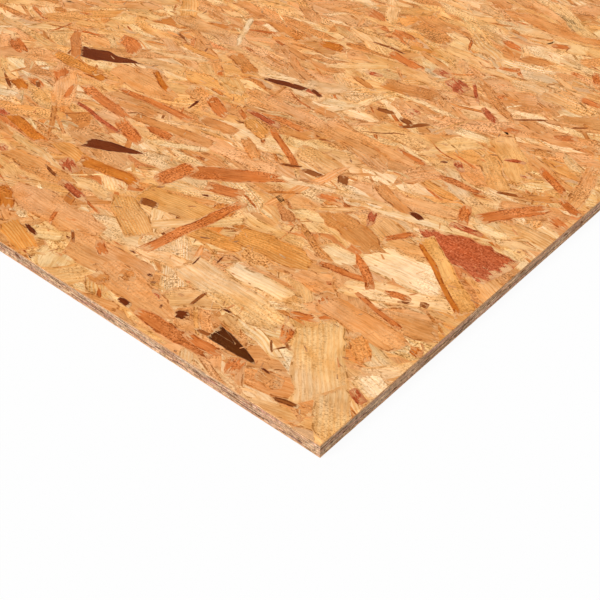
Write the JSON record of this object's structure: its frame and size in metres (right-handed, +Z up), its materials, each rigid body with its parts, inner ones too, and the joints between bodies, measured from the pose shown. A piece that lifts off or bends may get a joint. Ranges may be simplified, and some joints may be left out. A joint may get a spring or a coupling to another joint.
{
  "type": "osb panel",
  "caption": "Flat rectangular sheet of oriented strand board with square sawn edges, for decking, sheathing and packing.",
  "frame": {"origin": "middle of the sheet's underside", "axes": "+X along the length, the way the face strands run; +Y across the sheet; +Z up through the thickness"},
  "size_m": [2.44, 1.22, 0.012],
  "materials": {
    "pressed_strands": "matte"
  },
  "bodies": {
    "root": {"osb_panel": "pressed_strands"}
  },
  "joints": []
}
